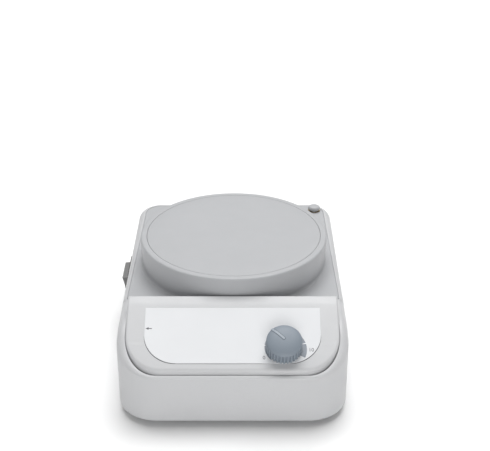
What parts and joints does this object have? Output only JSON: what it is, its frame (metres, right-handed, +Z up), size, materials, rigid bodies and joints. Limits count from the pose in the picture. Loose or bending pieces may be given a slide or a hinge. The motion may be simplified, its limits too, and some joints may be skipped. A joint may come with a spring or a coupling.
{
  "type": "magnetic stirrer",
  "caption": "Compact laboratory magnetic stirrer with a round work plate on a low drum, a sloping front panel with a fluted speed knob, a side rocker switch and a rear mains inlet.",
  "frame": {"origin": "bottom centre of the whole object, on the surface the rubber feet stand on", "axes": "+X to the right seen from the front, +Y to the rear, away from the control panel, +Z up"},
  "size_m": [0.159, 0.2188, 0.08],
  "materials": {
    "housing_grey": "fine satin moulded texture, light grey",
    "deck_grey": "fine satin moulded texture, mid grey",
    "label_white": "printed film, satin, near white with grey print",
    "knob_grey": "soft satin, blue grey",
    "black_plastic": "moulded black thermoplastic",
    "switch_grey": "moulded dark grey",
    "rubber": "matte",
    "steel": "zinc-plated",
    "brass": "turned",
    "aluminium": "die cast and turned",
    "copper": "enamelled copper winding",
    "board_green": "solder mask",
    "ferrite": "sintered, matte",
    "glass": "clear tube",
    "wire_brown": "insulation",
    "wire_blue": "insulation",
    "wire_red": "insulation"
  },
  "bodies": {
    "base": {"bearing_lower": "steel", "bearing_upper": "steel", "board_screw_0": "steel", "board_screw_1": "steel", "board_spacer_0": "brass", "board_spacer_1": "brass", "control_board": "board_green", "control_panel": "housing_grey", "cover_screw_0": "steel", "cover_screw_1": "steel", "cover_screw_2": "steel", "cover_screw_3": "steel", "driver_heatsink": "aluminium", "filter_capacitor": "black_plastic", "front_label": "label_white", "inlet_blade_earth": "steel", "inlet_blade_live": "steel", "inlet_blade_neutral": "steel", "inlet_screw_0": "steel", "inlet_screw_1": "steel", "lead_inlet_to_switch": "wire_brown", "lead_motor_to_board": "wire_red", "lead_switch_to_board": "wire_blue", "lower_shell": "housing_grey", "mains_transformer": "ferrite", "motor_base": "aluminium", "motor_grommet_0": "rubber", "motor_grommet_1": "rubber", "motor_grommet_2": "rubber", "motor_screw_0": "steel", "motor_screw_1": "steel", "motor_screw_2": "steel", "plate_gasket": "rubber", "pot_body": "steel", "pot_nut": "steel", "power_inlet": "black_plastic", "rod_bush": "brass", "rubber_foot_0": "rubber", "rubber_foot_1": "rubber", "rubber_foot_2": "rubber", "rubber_foot_3": "rubber", "stator_core": "steel", "stator_winding": "copper", "switch_housing": "black_plastic", "upper_deck": "deck_grey", "work_plate": "deck_grey"},
    "knob": {"speed_knob": "knob_grey", "pot_shaft": "aluminium"},
    "rocker": {"switch_rocker": "switch_grey"},
    "rotor": {"motor_shaft": "steel", "rotor_cup": "steel", "rotor_magnet_ring": "ferrite", "magnet_carrier": "black_plastic", "drive_magnet_north": "steel", "drive_magnet_south": "steel", "carrier_grub_screw": "steel"},
    "rod_plug": {"rod_hole_plug": "deck_grey"},
    "fuse_holder": {"fuse_drawer": "black_plastic", "fuse": "glass"}
  },
  "joints": [
    {"name": "knob_turn", "type": "hinge", "parent": "base", "child": "knob", "pos_m": [0.03646, -0.09254, 0.05035], "axis": [0, -0.4695, 0.8829], "range_deg": [-161, 91]},
    {"name": "rocker_press", "type": "hinge", "parent": "base", "child": "rocker", "pos_m": [-0.07384, 0.02585, 0.0303], "axis": [0, 1, 0], "range_deg": [0, 18]},
    {"name": "rotor_spin", "type": "hinge", "parent": "base", "child": "rotor", "pos_m": [0.00296, 0.01335, 0.04], "axis": [0, 0, 1], "continuous": true},
    {"name": "rod_plug_lift", "type": "slide", "parent": "base", "child": "rod_plug", "axis": [0, 0, 1], "range_m": [0, 0.02]},
    {"name": "fuse_drawer_slide", "type": "slide", "parent": "base", "child": "fuse_holder", "axis": [0, 1, 0], "range_m": [0, 0.025]}
  ]
}
